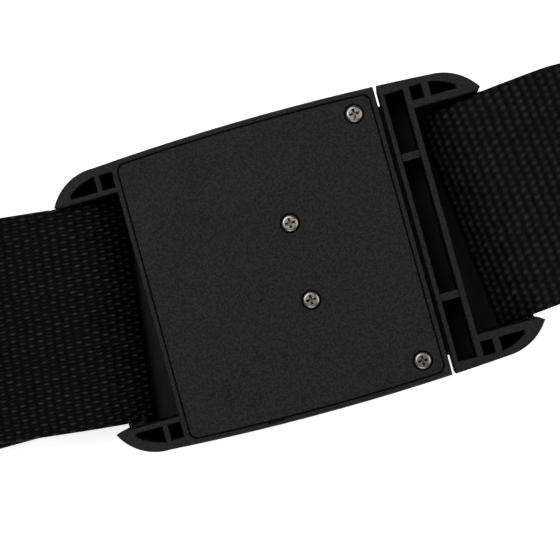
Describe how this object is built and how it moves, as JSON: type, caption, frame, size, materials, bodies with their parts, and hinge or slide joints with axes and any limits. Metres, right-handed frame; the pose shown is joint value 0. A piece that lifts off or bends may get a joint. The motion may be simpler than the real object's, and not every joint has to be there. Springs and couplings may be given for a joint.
{
  "type": "luggage strap",
  "caption": "Webbing luggage strap with a rectangular combination-lock side-release buckle, folded for storage under the buckle by an elastic keeper.",
  "frame": {"origin": "centre of the bounding box at its base, on the surface that the folded webbing stands on", "axes": "+X along the strap from the buckle's housing to its tongue, +Y across the strap, +Z out of the buckle's rear cover"},
  "size_m": [0.2398, 0.0672, 0.0316],
  "materials": {
    "housing_plastic": "fine-grained black moulded plastic",
    "cover_plastic": "fine-grained black moulded plastic",
    "wheel_plastic": "satin black plastic",
    "screw_nickel": "bright nickel plate",
    "mechanism_steel": "plain rolled steel",
    "sleeve_brass": "turned brass",
    "webbing": "coarse black polypropylene webbing",
    "elastic": "ribbed black elastic"
  },
  "bodies": {
    "housing": {"front_shell": "housing_plastic", "rear_cover": "cover_plastic", "cover_corner_screws": "screw_nickel", "cover_centre_screws": "screw_nickel", "detent_spring": "mechanism_steel", "detent_spring_screws": "screw_nickel", "spindle_spring": "mechanism_steel", "webbing_left_run": "webbing", "webbing_left_turn": "webbing", "webbing_stack": "webbing", "elastic_keeper": "elastic"},
    "tongue": {"tongue": "housing_plastic", "webbing_right_run": "webbing", "webbing_right_turn": "webbing", "webbing_adjuster_loop": "webbing", "strap_adjuster": "housing_plastic"},
    "lock_slider": {"lock_slider": "wheel_plastic", "slider_screw": "screw_nickel", "bolt_plate": "mechanism_steel", "bolt_studs": "mechanism_steel"},
    "reset_spindle": {"reset_spindle": "mechanism_steel", "spindle_clips": "mechanism_steel", "reset_button": "wheel_plastic"},
    "number_wheel_1": {"number_wheel_1": "wheel_plastic"},
    "number_wheel_2": {"number_wheel_2": "wheel_plastic"},
    "number_wheel_3": {"number_wheel_3": "wheel_plastic"},
    "wheel_sleeve_1": {"wheel_sleeve_1": "sleeve_brass"},
    "wheel_sleeve_2": {"wheel_sleeve_2": "sleeve_brass"},
    "wheel_sleeve_3": {"wheel_sleeve_3": "sleeve_brass"}
  },
  "joints": [
    {"name": "tongue_slide", "type": "slide", "parent": "housing", "child": "tongue", "axis": [1, 0, 0], "range_m": [0, 0.03]},
    {"name": "lock_slide", "type": "slide", "parent": "housing", "child": "lock_slider", "axis": [0, 1, 0], "range_m": [0, 0.004]},
    {"name": "reset_push", "type": "slide", "parent": "housing", "child": "reset_spindle", "axis": [0, 1, 0], "range_m": [0, 0.0014], "stiffness_N_per_m": 800, "springref_m": -0.0015, "deforming": ["spindle_spring"]},
    {"name": "number_wheel_1_turn", "type": "hinge", "parent": "housing", "child": "number_wheel_1", "pos_m": [-0.01628, -0.01, 0.0214], "axis": [0, 1, 0], "continuous": true},
    {"name": "wheel_sleeve_1_turn", "type": "hinge", "parent": "reset_spindle", "child": "wheel_sleeve_1", "pos_m": [-0.01628, -0.01, 0.0214], "axis": [0, 1, 0], "continuous": true},
    {"name": "number_wheel_2_turn", "type": "hinge", "parent": "housing", "child": "number_wheel_2", "pos_m": [-0.01628, 0, 0.0214], "axis": [0, 1, 0], "continuous": true},
    {"name": "wheel_sleeve_2_turn", "type": "hinge", "parent": "reset_spindle", "child": "wheel_sleeve_2", "pos_m": [-0.01628, 0, 0.0214], "axis": [0, 1, 0], "continuous": true},
    {"name": "number_wheel_3_turn", "type": "hinge", "parent": "housing", "child": "number_wheel_3", "pos_m": [-0.01628, 0.01, 0.0214], "axis": [0, 1, 0], "continuous": true},
    {"name": "wheel_sleeve_3_turn", "type": "hinge", "parent": "reset_spindle", "child": "wheel_sleeve_3", "pos_m": [-0.01628, 0.01, 0.0214], "axis": [0, 1, 0], "continuous": true}
  ],
  "couplings": [
    {"joint": "wheel_sleeve_1_turn", "follows": "number_wheel_1_turn", "ratio": 1},
    {"joint": "wheel_sleeve_2_turn", "follows": "number_wheel_2_turn", "ratio": 1},
    {"joint": "wheel_sleeve_3_turn", "follows": "number_wheel_3_turn", "ratio": 1}
  ]
}
